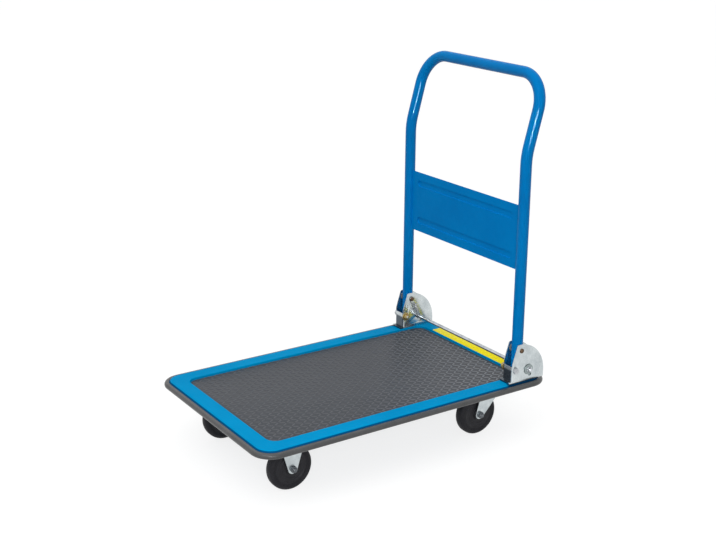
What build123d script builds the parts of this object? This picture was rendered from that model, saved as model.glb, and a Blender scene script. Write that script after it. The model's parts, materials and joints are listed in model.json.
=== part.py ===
from build123d import *
import os
from math import dist, hypot, pi, radians, tan

# Folding platform trolley, in millimetres. X runs from the leading end (-) to the handle end (+),
# Y across (the left hand of the person who pushes is -), Z up from the floor.

# Platform
platform_length = 740.0  # over the bumper
platform_width = 474.0  # over the bumper
pan_sheet = 1.5
pan_depth = 18.0
pan_edge_radius = 6.0
pan_corner_radius = 36.0
pan_lip = 9.0  # turned-in hem at the foot of the rim
recess_depth = 6.2  # the pan is pressed down under the mat
recess_edge_radius = 1.6
recess_foot_radius = 1.0
border = 38.0  # painted border, pan edge to recess

# Mat, bumper strip and plain marker strip
mat_thickness = 1.6
mat_gap = 1.2
mat_corner_radius = 22.0
bumper_reach = 10.5
bumper_height = 11.2
bumper_drop = 3.5  # below the painted border
bumper_nose_radius = 5.4
bumper_seam = 0.8  # the strip's ends meet at the middle of the handle end
marker_length = 286.0
marker_width = 30.0
marker_thickness = 0.4

# Hat channels and ribs welded under the pan
channel_depth = 8.3
channel_wall = 2.0
channel_bend = 2.4
channel_web = 84.0
channel_flange = 10.5
channel_length = 352.0
rib_web = 34.0
rib_spacing = 160.0
rib_end_gap = 5.0

# Castors
wheel_diameter = 100.0
wheel_width = 25.0
tyre_depth = 14.0
tyre_shoulder = 8.5
tyre_lip = 1.0  # the tyre's side ring stands back from its tread
rim_depth = 4.0
rim_width = 22.0
hub_face = 20.0  # thickness of the dished disc
hub_ring_radius = 24.0  # raised ring on each face of the disc
hub_ring_width = 4.0
hub_ring_height = 0.8
boss_radius = 13.0
bush_radius = 6.0
bush_length = 29.0
axle_radius = 4.0
running_clearance = 0.05
side_clearance = 0.5
fork_wall = 2.5
fork_bend = 4.0
fork_edge = 1.0  # rounding of its pressed outline
fork_shoulder_radius = 12.0  # where the arms meet the crown
fork_eye_radius = 11.0
fixed_fork_length = 60.0  # along X at the crown
crown_length = 56.0  # swivel fork, along X
crown_clearance = 6.0  # tyre to crown
castor_trail = 33.0
castor_side_inset = 94.0  # platform edge to wheel middle
front_castor_inset = 113.9  # leading end to axle
rear_castor_inset = 105.3  # handle end to swivel axis
plate_length = 80.0
plate_width = 66.0
plate_thickness = 2.5
plate_corner_radius = 8.0
plate_bolts_x = 62.0
plate_bolts_y = 48.0

# Swivel head
race_height = 11.0  # between plate and crown
race_pitch_radius = 19.0
race_half_width = 5.0
ball_radius = 3.0
ball_count = 16
ball_clearance = 0.08
ball_lift_clearance = 0.3
race_gap = 3.0
cover_wall = 1.2
cover_gap = 1.2
king_pin_radius = 6.0
king_head_radius = 10.5
king_head_height = 3.0
king_clearance = 0.08
king_head_gap = 0.3

# Fasteners: shank radius, width across flats, head height, nut height
small_bolt_radius = 3.0
small_bolt_flats = 10.0
small_head_height = 4.0
small_nut_height = 4.5
large_bolt_flats = 13.0
large_head_height = 5.0
large_nut_height = 6.5
nut_collar_height = 1.5
nut_collar_radius = 5.8
bolt_end = 1.2  # shank past the nut
bolt_clearance = 0.25

# Handle
overall_height = 820.0
tube_diameter = 25.0
tube_wall = 1.5
handle_end_inset = 78.3  # handle end of the platform to the tube axis
handle_side_inset = 31.0  # platform edge to the tube axis
tilt_rise = 163.5  # height of the part that leans back
tilt_angle = 15.3
tilt_bend_radius = 150.0
corner_bend_radius = 72.0
panel_height = 144.0
panel_drop = 273.5  # top bar axis to the panel's top edge
panel_sheet = 1.2
panel_bead_width = 18.0
panel_bead_depth = 3.0
panel_bead_inset = 27.0  # panel edge to bead middle
panel_bead_end = 20.0  # tube to bead end
bead_radius = 1.6

# Hinge brackets and release bar
pivot_height = 73.0  # above the platform
pivot_radius = 4.0
sleeve_radius = 6.0
pivot_head_radius = 5.4
pivot_head_height = 3.0
hinge_washer_radius = 10.0
hinge_washer = 0.9
hinge_gap = 0.3
cheek_clearance = 1.5  # tube to cheek
bracket_wall = 2.5
bracket_bend = 4.0
bracket_edge = 1.0  # rounding of the cheeks' pressed outline
bracket_height = 88.5
bracket_web_height = 39.0
bracket_web_gap = 1.5  # stop bolt to web
bracket_foot = 8.0  # base reaches ahead of the web
bracket_base = 4.0
cheek_radius = 73.0
cheek_back = 65.5  # tube axis to the cheek's back edge
cheek_front_height = 43.0  # up to where its front edge leans back
shoulder_ahead = 10.3  # cheek's shoulder, from the pivot
cheek_corner_radius = 5.0
base_back = 58.0  # tube axis to the base's back edge
base_bolts_x = (-10.0, 49.0)  # from the tube axis
stop_radius = 4.0
stop_height = 30.0
stop_gap = 0.3
stop_washer_radius = 10.0
stop_washer = 1.6
bar_radius = 4.5
bar_latch_gap = 4.5  # tail of the tube to the bar
bar_height = 25.5
bar_travel_x = 3.9
bar_travel_z = -12.0
bar_slot_clearance = 0.35
bar_end = 9.0  # past the outer cheek
bar_washer_radius = 12.0
bar_washer = 1.2
bar_washer_dish = 1.0
bar_washer_gap = 0.3
bar_cap_radius = 7.0
bar_cap_height = 3.0
tail_gap = 0.6  # tail's sweep to the bar
plug_length = 14.0

# Release springs
spring_wire = 1.2
spring_radius = 4.6
spring_turns = 9
spring_pitch = 2.7
spring_eye_gap = 0.3
spring_cheek_gap = 0.5

# Worked-out places
pan_length = platform_length - 2 * bumper_reach
pan_width = platform_width - 2 * bumper_reach
mat_end = pan_length / 2 - border - mat_gap
mat_half = pan_width / 2 - border - mat_gap
castor_height = wheel_diameter + crown_clearance + fork_wall + race_height + plate_thickness
pan_under = castor_height + channel_depth  # underside of the pressed-down middle
platform_height = pan_under + pan_sheet + recess_depth
rim_foot = platform_height - pan_depth
castor_y = platform_width / 2 - castor_side_inset
front_axle_x = -platform_length / 2 + front_castor_inset
swivel_x = platform_length / 2 - rear_castor_inset
rear_axle_x = swivel_x - castor_trail
wheel_radius = wheel_diameter / 2
plate_foot = castor_height - plate_thickness
crown_top = plate_foot - race_height
fork_inside = bush_length / 2 + side_clearance
tube_radius = tube_diameter / 2
tube_x = platform_length / 2 - handle_end_inset
tube_y = platform_width / 2 - handle_side_inset
top_z = overall_height - tube_radius
tilt_z = top_z - tilt_rise
top_x = tube_x + tilt_rise * tan(radians(tilt_angle))
pivot_z = platform_height + pivot_height
cheek_inside = tube_radius + cheek_clearance
cheek_outside = cheek_inside + bracket_wall
stop_x = tube_x - tube_radius - stop_gap - stop_radius
stop_z = platform_height + stop_height
web_x = stop_x - stop_radius - bracket_web_gap - bracket_wall
bar_x = tube_x + tube_radius + bar_latch_gap + bar_radius
bar_z = platform_height + bar_height
tail_reach = hypot(bar_x - tube_x, pivot_z - bar_z) - bar_radius - tail_gap

corners = {"front_left": (-1, -1), "front_right": (-1, 1), "rear_left": (1, -1), "rear_right": (1, 1)}
sides = {"left": -1, "right": 1}
os.makedirs("parts", exist_ok=True)


def save(name, *solids):
    export_step(Compound(children=list(solids)) if len(solids) > 1 else solids[0], f"parts/{name}.step")


def box(x0, x1, y0, y1, z0, z1):
    return Pos((x0 + x1) / 2, (y0 + y1) / 2, (z0 + z1) / 2) * Box(x1 - x0, y1 - y0, z1 - z0)


def rod_y(x, z, radius, y0, y1):
    return Pos(x, (y0 + y1) / 2, z) * Rot(90, 0, 0) * Cylinder(radius, abs(y1 - y0))


def rod_z(x, y, radius, z0, z1):
    return Pos(x, y, (z0 + z1) / 2) * Cylinder(radius, z1 - z0)


def hexagon(flats, height):
    return extrude(RegularPolygon(flats / 2, 6, major_radius=False), height)


def rounded_slab(x0, x1, half, radius, z0, z1):
    return Pos((x0 + x1) / 2, 0, z0) * extrude(RectangleRounded(x1 - x0, 2 * half, radius), z1 - z0)


def turned(*points):
    # a profile of radius and height points, spun about Z
    return revolve(Plane.XZ * make_face(Polyline(*points, close=True)), Axis.Z)


def along_y(shape, x, y, z, toward):
    # stands a piece that was made on Z along Y, its top toward + or -
    return Pos(x, y, z) * Rot(-90 * toward, 0, 0) * shape


def pan_outline(inset, z0, z1):
    return rounded_slab(
        -pan_length / 2 + inset,
        pan_length / 2 - inset,
        pan_width / 2 - inset,
        pan_corner_radius - inset,
        z0,
        z1,
    )


def mat_outline(grow, z0, z1):
    end = mat_end + grow
    return rounded_slab(-end, end, mat_half + grow, mat_corner_radius + grow, z0, z1)


def bracket_bolt_places():
    return [(tube_x + dx, side * tube_y) for side in sides.values() for dx in base_bolts_x]


def within_border(edge):
    middle = edge @ 0.5
    return abs(middle.X) < mat_end + 2 * mat_gap and abs(middle.Y) < mat_half + 2 * mat_gap


def deck_pan():
    skin = pan_outline(0, rim_foot, platform_height)
    skin = fillet(skin.edges().group_by(Axis.Z)[-1], pan_edge_radius)
    recess = mat_outline(mat_gap, platform_height - recess_depth, platform_height)
    skin -= fillet(recess.edges().group_by(Axis.Z)[0], recess_foot_radius)
    inner_edge = skin.edges().group_by(Axis.Z)[-1].filter_by(within_border)
    skin = fillet(inner_edge, recess_edge_radius)
    inside = pan_outline(pan_sheet, rim_foot, platform_height - pan_sheet)
    inside = fillet(inside.edges().group_by(Axis.Z)[-1], pan_edge_radius - pan_sheet)
    inside -= mat_outline(mat_gap + pan_sheet, pan_under, platform_height)
    lip = pan_outline(pan_sheet / 2, rim_foot, rim_foot + pan_sheet)
    lip -= pan_outline(pan_sheet + pan_lip, rim_foot, rim_foot + pan_sheet)
    pan = skin - inside + lip
    for x, y in bracket_bolt_places():
        pan -= rod_z(x, y, small_bolt_radius + bolt_clearance, pan_under, platform_height)
    return pan


def deck_mat():
    floor = platform_height - recess_depth
    return mat_outline(0, floor, floor + mat_thickness)


def bumper_strip():
    top = platform_height - bumper_drop
    strip = pan_outline(-bumper_reach, top - bumper_height, top)
    strip = fillet(strip.edges().group_by(Axis.Z)[0] + strip.edges().group_by(Axis.Z)[-1], bumper_nose_radius)
    strip -= pan_outline(0, top - bumper_height, top)
    end = platform_length / 2
    return strip - box(end - 2 * bumper_reach, end, -bumper_seam / 2, bumper_seam / 2, 0, platform_height)


def marker_strip():
    x0 = mat_end + mat_gap + recess_edge_radius
    x1 = pan_length / 2 - pan_edge_radius
    middle = (x0 + x1) / 2
    top = platform_height + marker_thickness
    half = marker_length / 2
    return box(middle - marker_width / 2, middle + marker_width / 2, -half, half, platform_height, top)


def hat_profile(web):
    # a channel that opens upward against the pan, drawn across its length
    half = web / 2 - channel_wall / 2
    brim = web / 2 + channel_flange
    low = channel_wall / 2
    high = channel_depth - channel_wall / 2
    line = FilletPolyline(
        (-brim, high),
        (-half, high),
        (-half, low),
        (half, low),
        (half, high),
        (brim, high),
        radius=channel_bend,
    )
    return trace(line, channel_wall)


def castor_bolt_places(x, y):
    dx = plate_bolts_x / 2
    dy = plate_bolts_y / 2
    return [(x + i * dx, y + j * dy) for i in (-1, 1) for j in (-1, 1)]


def all_castor_bolt_places():
    middles = [(x, side * castor_y) for x in (front_axle_x, swivel_x) for side in (1, -1)]
    return [place for x, y in middles for place in castor_bolt_places(x, y)]


def cross_channel(x):
    bar = extrude(Plane.XZ * hat_profile(channel_web), channel_length / 2, both=True)
    bar = Pos(x, 0, castor_height) * bar
    for bx, by in all_castor_bolt_places():
        bar -= rod_z(bx, by, small_bolt_radius + bolt_clearance, castor_height, castor_height + channel_wall)
    return bar


def floor_rib(side):
    reach = channel_web / 2 + channel_flange + rib_end_gap
    x0 = front_axle_x + reach
    x1 = swivel_x - reach
    rib = extrude(Plane.YZ * hat_profile(rib_web), x1 - x0)
    return Pos(x0, side * rib_spacing / 2, castor_height) * rib


def small_bolt(grip):
    # head below Z 0, shank up through the grip, the nut and a little more
    shank = rod_z(0, 0, small_bolt_radius, 0, grip + small_nut_height + bolt_end)
    return shank + Pos(0, 0, -small_head_height) * hexagon(small_bolt_flats, small_head_height)


def small_nut():
    nut = hexagon(small_bolt_flats, small_nut_height)
    return nut - rod_z(0, 0, small_bolt_radius, 0, small_nut_height)


def castor_bolts():
    bolt = small_bolt(plate_thickness + channel_wall)
    return [Pos(x, y, plate_foot) * bolt for x, y in all_castor_bolt_places()]


def castor_nuts():
    return [Pos(x, y, castor_height + channel_wall) * small_nut() for x, y in all_castor_bolt_places()]


def top_plate(x, y):
    plate = Pos(x, y, plate_foot) * extrude(
        RectangleRounded(plate_length, plate_width, plate_corner_radius), plate_thickness
    )
    for bx, by in castor_bolt_places(x, y):
        plate -= rod_z(bx, by, small_bolt_radius + bolt_clearance, plate_foot, castor_height)
    return plate


def ball_ring(radius):
    ring = Torus(race_pitch_radius, radius)
    return Pos(0, 0, crown_top + race_height / 2 - ball_lift_clearance) * ring


def swivel_plate(x, y):
    # plate with the upper ball race and the dust cover pressed into it
    outer = race_pitch_radius + race_half_width
    race_low = crown_top + race_height / 2 + race_gap / 2
    race = rod_z(0, 0, outer, race_low, plate_foot) - ball_ring(ball_radius + ball_lift_clearance)
    skirt_in = outer + cover_gap
    skirt_low = crown_top + cover_gap
    skirt = rod_z(0, 0, skirt_in + cover_wall, skirt_low, plate_foot)
    skirt -= rod_z(0, 0, skirt_in, skirt_low, plate_foot)
    plate = top_plate(x, y) + Pos(x, y, 0) * (race + skirt)
    plate -= Pos(x, y, 0) * king_pin()
    return plate


def king_pin():
    head_low = crown_top - fork_wall - king_head_gap - king_head_height
    head_top = head_low + king_head_height
    flare = king_pin_radius + plate_thickness
    return turned(
        (0, head_low),
        (king_head_radius - 1, head_low),
        (king_head_radius, head_low + 1),
        (king_head_radius, head_top),
        (king_pin_radius, head_top),
        (king_pin_radius, plate_foot),
        (flare, castor_height),
        (0, castor_height),
    )


def swivel_balls(x, y):
    lift = crown_top + race_height / 2 - ball_lift_clearance
    spots = PolarLocations(race_pitch_radius, ball_count)
    return [Pos(x, y, lift) * spot * Sphere(ball_radius) for spot in spots]


def eased_sides(shell, radius):
    # rounds the outline of the two outer side faces, from their arcs on
    for outside in (shell.faces().sort_by(Axis.Y)[0], shell.faces().sort_by(Axis.Y)[-1]):
        shell = fillet(outside.edges().filter_by(GeomType.CIRCLE), radius)
    return shell


def fork_shell(top, length):
    # a folded U, seen along X, long enough for any side outline
    middle = fork_inside + fork_wall / 2
    foot = wheel_radius - fork_eye_radius
    line = FilletPolyline(
        (-middle, foot),
        (-middle, top - fork_wall / 2),
        (middle, top - fork_wall / 2),
        (middle, foot),
        radius=fork_bend,
    )
    return extrude(Plane.YZ * trace(line, fork_wall), length, both=True)


def fork(top, length, offset):
    # side outline: round eye at the axle, straight edges up to the crown, which stands offset along X
    eye = Pos(0, wheel_radius) * Circle(fork_eye_radius)
    crown = Pos(offset, top - fork_bend) * Rectangle(length, 2 * fork_bend)
    outline = make_hull((eye + crown).edges())
    outline = fillet(outline.vertices().group_by(Axis.Y)[-2], fork_shoulder_radius)
    reach = fork_inside + fork_wall
    side = extrude(Plane.XZ * outline, reach, both=True)
    shell = eased_sides(fork_shell(top, abs(offset) + length) & side, fork_edge)
    hole = axle_radius + running_clearance
    return shell - rod_y(0, wheel_radius, hole, -reach, reach)


def fixed_fork():
    return fork(plate_foot, fixed_fork_length, 0)


def swivel_fork():
    body = fork(crown_top, crown_length, castor_trail)
    outer = race_pitch_radius + race_half_width
    race_top = crown_top + race_height / 2 - race_gap / 2
    race = rod_z(0, 0, outer, crown_top - fork_wall, race_top) - ball_ring(ball_radius + ball_clearance)
    body += Pos(castor_trail, 0, 0) * race
    bore = king_pin_radius + king_clearance
    return body - rod_z(castor_trail, 0, bore, 0, plate_foot)


def axle_bolt():
    # along Z from its head at 0, through both fork arms and the nut
    grip = 2 * (fork_inside + fork_wall)
    shank = rod_z(0, 0, axle_radius, 0, grip + large_nut_height + nut_collar_height + bolt_end)
    return shank + Pos(0, 0, -large_head_height) * hexagon(large_bolt_flats, large_head_height)


def lock_nut():
    height = large_nut_height + nut_collar_height
    nut = hexagon(large_bolt_flats, large_nut_height) + rod_z(0, 0, nut_collar_radius, 0, height)
    return nut - rod_z(0, 0, axle_radius, 0, height)


def tyre():
    inner = wheel_radius - tyre_depth
    half = wheel_width / 2
    lip = half - tyre_lip
    ring = wheel_radius - tyre_shoulder - tyre_lip
    tread = turned((inner, -half), (wheel_radius, -half), (wheel_radius, half), (inner, half))
    shoulders = tread.edges().filter_by(GeomType.CIRCLE).group_by(SortBy.RADIUS)[-1]
    tread = fillet(shoulders, tyre_shoulder)
    for end in (-1, 1):
        band = turned((0, end * lip), (ring, end * lip), (ring + tyre_lip, end * half), (0, end * half))
        tread -= band
    return tread


def wheel_hub():
    rim_out = wheel_radius - tyre_depth
    rim_in = rim_out - rim_depth
    face = hub_face / 2
    half_ring = hub_ring_width / 2
    half = [
        (boss_radius, bush_length / 2),
        (boss_radius + 1, face),
        (hub_ring_radius - half_ring, face),
        (hub_ring_radius - half_ring + hub_ring_height, face + hub_ring_height),
        (hub_ring_radius + half_ring - hub_ring_height, face + hub_ring_height),
        (hub_ring_radius + half_ring, face),
        (rim_in - 1, face),
        (rim_in, rim_width / 2),
        (rim_out, rim_width / 2),
    ]
    other_half = [(radius, -height) for radius, height in reversed(half)]
    bore = [(bush_radius, -bush_length / 2), (bush_radius, bush_length / 2)]
    return turned(*half, *other_half, *bore)


def wheel_bush():
    half = bush_length / 2
    return rod_z(0, 0, bush_radius, -half, half) - rod_z(0, 0, axle_radius + running_clearance, -half, half)


def cheek_outline():
    arc_x = tube_x + cheek_back - cheek_radius
    arc_z = bracket_height - cheek_radius
    shoulder_x = tube_x - shoulder_ahead
    a = (web_x, 0)
    b = (web_x, cheek_front_height)
    c = (shoulder_x, arc_z + (cheek_radius**2 - (shoulder_x - arc_x) ** 2) ** 0.5)
    d = (arc_x + cheek_radius, arc_z)
    e = (arc_x + cheek_radius, 0)
    front = Polyline(a, b, c)
    crest = RadiusArc(c, d, cheek_radius)
    back = Polyline(d, e, a)
    face = make_face(front + crest + back)
    worn = [v for v in face.vertices() if min(v.distance_to(Vertex(*p, 0)) for p in (b, c)) < 0.1]
    return fillet(worn, cheek_corner_radius)


def bar_slot():
    # stadium along the bar's travel, cut through both cheeks
    radius = bar_radius + bar_slot_clearance
    ends = [Pos(bar_x, bar_height) * Circle(radius)]
    ends += [Pos(bar_x + bar_travel_x, bar_height + bar_travel_z) * Circle(radius)]
    return make_hull((ends[0] + ends[1]).edges())


def hinge_bracket(side):
    # a folded U with its web toward the leading end, on a base that the pan's bolts hold
    middle = cheek_inside + bracket_wall / 2
    back = tube_x + cheek_back
    front = web_x + bracket_wall / 2
    line = FilletPolyline(
        (back, -middle),
        (front, -middle),
        (front, middle),
        (back, middle),
        radius=bracket_bend,
    )
    shell = extrude(trace(line, bracket_wall), bracket_height)
    shell &= extrude(Plane.XZ * cheek_outline(), cheek_outside, both=True)
    shell = eased_sides(shell, bracket_edge)
    shell -= box(0, front + bracket_bend, -cheek_inside, cheek_inside, bracket_web_height, bracket_height)
    base = box(web_x - bracket_foot, tube_x + base_back, -cheek_outside, cheek_outside, 0, bracket_base)
    shell += fillet(base.edges().filter_by(Axis.Z), bracket_wall)
    shell -= rod_y(tube_x, pivot_height, pivot_radius, -cheek_outside, cheek_outside)
    shell -= rod_y(stop_x, stop_height, stop_radius, -cheek_outside, cheek_outside)
    shell -= extrude(Plane.XZ * bar_slot(), cheek_outside, both=True)
    for dx in base_bolts_x:
        shell -= rod_z(tube_x + dx, 0, small_bolt_radius + bolt_clearance, 0, bracket_base)
    return Pos(0, side * tube_y, platform_height) * shell


def bracket_bolts():
    bolt = Rot(180, 0, 0) * small_bolt(bracket_base + pan_sheet)
    return [Pos(x, y, platform_height + bracket_base) * bolt for x, y in bracket_bolt_places()]


def bracket_nuts():
    seat = platform_height - pan_sheet - small_nut_height
    return [Pos(x, y, seat) * small_nut() for x, y in bracket_bolt_places()]


def pivot_pin(side):
    # domed head on the outer cheek; the inner end is headed over past the spring's eye
    neck = 2 * cheek_outside + spring_cheek_gap + spring_wire + spring_eye_gap
    rim = pivot_head_height * 0.4
    pin = turned(
        (0, -pivot_head_height),
        (pivot_head_radius - 2, -pivot_head_height),
        (pivot_head_radius, -rim),
        (pivot_head_radius, 0),
        (pivot_radius, 0),
        (pivot_radius, neck),
        (pivot_head_radius, neck),
        (pivot_head_radius - 1, neck + pivot_head_height - 1),
        (0, neck + pivot_head_height - 1),
    )
    return along_y(pin, tube_x, side * (tube_y + cheek_outside), pivot_z, -side)


def stop_bolt(side):
    grip = 2 * cheek_outside + stop_washer
    bolt = rod_z(0, 0, stop_radius, 0, grip + large_nut_height + nut_collar_height + bolt_end)
    bolt += Pos(0, 0, -large_head_height) * hexagon(large_bolt_flats, large_head_height)
    return along_y(bolt, stop_x, side * (tube_y + cheek_outside), stop_z, -side)


def stop_nut(side):
    return along_y(lock_nut(), stop_x, side * (tube_y - cheek_outside - stop_washer), stop_z, -side)


def stop_nut_washer(side):
    inner = side * (tube_y - cheek_outside)
    outer = inner - side * stop_washer
    ring = rod_y(stop_x, stop_z, stop_washer_radius, inner, outer)
    return ring - rod_y(stop_x, stop_z, stop_radius, inner, outer)


def handle_path():
    tail = pivot_z - tail_reach - tube_radius
    return FilletPolyline(
        (tube_x, -tube_y, tail),
        (tube_x, -tube_y, tilt_z),
        (top_x, -tube_y, top_z),
        (top_x, tube_y, top_z),
        (tube_x, tube_y, tilt_z),
        (tube_x, tube_y, tail),
        radius=[tilt_bend_radius, corner_bend_radius, corner_bend_radius, tilt_bend_radius],
    )


def tail_trim():
    # what lies past the tail's round end, which is turned about the pivot
    reach = tube_y + tube_diameter
    low = pivot_z - tail_reach - tube_diameter
    block = box(tube_x - tube_diameter, tube_x + tube_diameter, -reach, reach, low, pivot_z - tube_diameter)
    return block - rod_y(tube_x, pivot_z, tail_reach, -reach, reach)


def handle_tube():
    path = handle_path()
    ring = Circle(tube_radius) - Circle(tube_radius - tube_wall)
    tube = sweep(Plane(origin=path @ 0, z_dir=(0, 0, 1)) * ring, path=path)
    tube -= tail_trim()
    for side in sides.values():
        y = side * tube_y
        tube -= rod_y(tube_x, pivot_z, sleeve_radius, y - cheek_inside, y + cheek_inside)
    return tube


def pivot_sleeve(side):
    y = side * tube_y
    half = cheek_inside - hinge_gap
    bore = rod_y(tube_x, pivot_z, pivot_radius + running_clearance, y - half, y + half)
    return rod_y(tube_x, pivot_z, sleeve_radius, y - half, y + half) - bore


def pivot_washers(side):
    y = side * tube_y
    rings = []
    for end in (-1, 1):
        outer = y + end * (cheek_inside - hinge_gap)
        inner = outer - end * hinge_washer
        ring = rod_y(tube_x, pivot_z, hinge_washer_radius, inner, outer)
        rings.append(ring - rod_y(tube_x, pivot_z, sleeve_radius, inner, outer))
    return rings


def tail_plug(side):
    y = side * tube_y
    top = pivot_z - tail_reach + plug_length
    low = pivot_z - tail_reach - tube_radius
    return rod_z(tube_x, y, tube_radius - tube_wall, low, top) - tail_trim()


def handle_panel():
    # sheet between the tubes, with two long beads pressed toward the back
    top = top_z - panel_drop
    low = top - panel_height
    front = tube_x - panel_sheet / 2
    back = tube_x + panel_sheet / 2
    sheet = box(front, back, -tube_y, tube_y, low, top)
    length = 2 * (tube_y - tube_radius - panel_bead_end)
    for z in (low + panel_bead_inset, top - panel_bead_inset):
        shell = Pos(0, 0, z) * extrude(Plane.YZ * SlotOverall(length, panel_bead_width), panel_bead_depth)
        shell = fillet(shell.edges().group_by(Axis.X)[-1], bead_radius + panel_sheet)
        hollow_width = panel_bead_width - 2 * panel_sheet
        hollow_length = length - 2 * panel_sheet
        hollow = Pos(0, 0, z) * extrude(Plane.YZ * SlotOverall(hollow_length, hollow_width), panel_bead_depth)
        hollow = fillet(hollow.edges().group_by(Axis.X)[-1], bead_radius)
        sheet = sheet + Pos(back, 0, 0) * shell - Pos(front, 0, 0) * hollow
    for side in sides.values():
        sheet -= rod_z(tube_x, side * tube_y, tube_radius, low, top)
    return sheet


def release_bar():
    reach = tube_y + cheek_outside + bar_end
    bar = rod_y(bar_x, bar_z, bar_radius, -reach, reach)
    return chamfer(bar.edges().filter_by(GeomType.CIRCLE), bar_radius * 0.2)


def bar_washer_ring(side):
    # dished washer that runs on the outer cheek
    inner = tube_y + cheek_outside + bar_washer_gap
    ring = turned(
        (bar_radius, bar_washer_dish),
        (bar_washer_radius, 0),
        (bar_washer_radius, bar_washer),
        (bar_radius, bar_washer + bar_washer_dish),
    )
    return along_y(ring, bar_x, side * inner, bar_z, side)


def bar_cap(side):
    # push-on cap that holds the washer
    start = tube_y + cheek_outside + bar_washer_gap + bar_washer + bar_washer_dish
    ring = turned(
        (bar_radius, 0),
        (bar_cap_radius, 0),
        (bar_cap_radius - 1, bar_cap_height),
        (bar_radius, bar_cap_height),
    )
    return along_y(ring, bar_x, side * start, bar_z, side)


def biarc(p, t, q, u):
    # two tangent arcs from p, heading t, to q, heading u
    v = q - p
    s = t + u
    k = 2 * (1 - t.dot(u))
    d = (-v.dot(s) + (v.dot(s) ** 2 + k * v.dot(v)) ** 0.5) / k
    a = p + t * d
    b = q - u * d
    joint = (a + b) * 0.5
    return [TangentArc(p, joint, tangent=t), TangentArc(joint, q, tangent=(b - a).normalized())]


def least_self_gap(path):
    # nearest approach of the wire to itself, on points, past its own thickness along the path
    step = spring_wire / 4
    count = int(path.length / step)
    points = [tuple(path @ (i / count)) for i in range(count + 1)]
    skip = int(pi * spring_wire / step)
    pairs = ((p, q) for i, p in enumerate(points) for q in points[i + skip:])
    return min(dist(p, q) for p, q in pairs) - spring_wire


def release_spring(side):
    # tension spring from the pivot pin to the bar: an eye, a leg, the turns, a leg and an eye
    pin = Vector(tube_x, 0, pivot_z)
    bar = Vector(bar_x, 0, bar_z)
    along = (bar - pin).normalized()
    across = Vector(0, side, 0)
    out = across.cross(along)
    span = (bar - pin).length
    pin_eye = pivot_radius + spring_eye_gap + spring_wire / 2
    bar_eye = bar_radius + spring_eye_gap + spring_wire / 2
    length = spring_turns * spring_pitch
    start = (span - length) / 2
    eye_y = side * (tube_y - cheek_outside - spring_cheek_gap - spring_wire / 2)
    middle = pin + Vector(0, eye_y, 0) - across * spring_radius
    climb = along * (spring_pitch / (2 * pi))

    def place(a, n, c=spring_radius):
        return middle + along * a + out * n + across * c

    def half_turn(i):
        a = start + i * spring_pitch / 2
        flip = (-1) ** i
        return place(a, 0, flip * spring_radius), (climb - out * flip * spring_radius).normalized()

    knots = [(place(pin_eye, 0), -out), (place(-pin_eye, 0), out), (place(0, pin_eye), along)]
    knots += [(place(start - pin_eye, pin_eye), along)]
    knots += [half_turn(i) for i in range(2 * spring_turns + 1)]
    knots += [(place(start + length + bar_eye, -bar_eye), along), (place(span, -bar_eye), along)]
    knots += [(place(span + bar_eye, 0), out), (place(span - bar_eye, 0), -out)]
    edges = []
    for (p, t), (q, u) in zip(knots, knots[1:]):
        straight = t.cross(u).length < 1e-6 and t.dot(u) > 0
        edges += [Line(p, q)] if straight else biarc(p, t, q, u)
    path = Wire(edges)
    print(f"spring: wire {path.length:.1f} long, least gap to itself {least_self_gap(path):.2f}")
    return sweep(Plane(origin=knots[0][0], z_dir=knots[0][1]) * Circle(spring_wire / 2), path=path)


def save_platform():
    save("deck_pan", deck_pan())
    save("deck_mat", deck_mat())
    save("bumper_strip", bumper_strip())
    save("marker_strip", marker_strip())
    save("front_cross_channel", cross_channel(front_axle_x))
    save("rear_cross_channel", cross_channel(swivel_x))
    for name, side in sides.items():
        save(f"{name}_floor_rib", floor_rib(side))
    save("castor_bolts", *castor_bolts())
    save("castor_nuts", *castor_nuts())


def save_castors():
    nuts = {}
    for name, (end, side) in corners.items():
        y = side * castor_y
        x = rear_axle_x if end > 0 else front_axle_x
        place = Pos(x, y, 0)
        if end > 0:
            save(f"{name}_top_plate", swivel_plate(swivel_x, y))
            save(f"{name}_king_pin", Pos(swivel_x, y, 0) * king_pin())
            save(f"{name}_swivel_balls", *swivel_balls(swivel_x, y))
            save(f"{name}_fork", place * swivel_fork())
        else:
            save(f"{name}_top_plate", top_plate(x, y))
            save(f"{name}_fork", place * fixed_fork())
        reach = fork_inside + fork_wall
        save(f"{name}_axle_bolt", along_y(axle_bolt(), x, y - side * reach, wheel_radius, side))
        nuts[name] = along_y(lock_nut(), x, y + side * reach, wheel_radius, side)
        save(f"{name}_tyre", along_y(tyre(), x, y, wheel_radius, side))
        save(f"{name}_hub", along_y(wheel_hub(), x, y, wheel_radius, side))
        save(f"{name}_bush", along_y(wheel_bush(), x, y, wheel_radius, side))
    save("front_axle_nuts", nuts["front_left"], nuts["front_right"])
    save("rear_left_axle_nut", nuts["rear_left"])
    save("rear_right_axle_nut", nuts["rear_right"])


def save_handle():
    save("handle_tube", handle_tube())
    save("handle_panel", handle_panel())
    save("release_bar", release_bar())
    save("pivot_washers", *pivot_washers(-1), *pivot_washers(1))
    save("bracket_bolts", *bracket_bolts())
    save("bracket_nuts", *bracket_nuts())
    save("stop_bolts", stop_bolt(-1), stop_bolt(1))
    save("stop_nuts", stop_nut(-1), stop_nut(1), stop_nut_washer(-1), stop_nut_washer(1))
    save("pivot_sleeves", pivot_sleeve(-1), pivot_sleeve(1))
    save("tail_plugs", tail_plug(-1), tail_plug(1))
    save("release_bar_washers", bar_washer_ring(-1), bar_washer_ring(1))
    save("release_bar_caps", bar_cap(-1), bar_cap(1))
    for name, side in sides.items():
        save(f"{name}_hinge_bracket", hinge_bracket(side))
        save(f"{name}_pivot_pin", pivot_pin(side))
        save(f"{name}_release_spring", release_spring(side))


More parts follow.
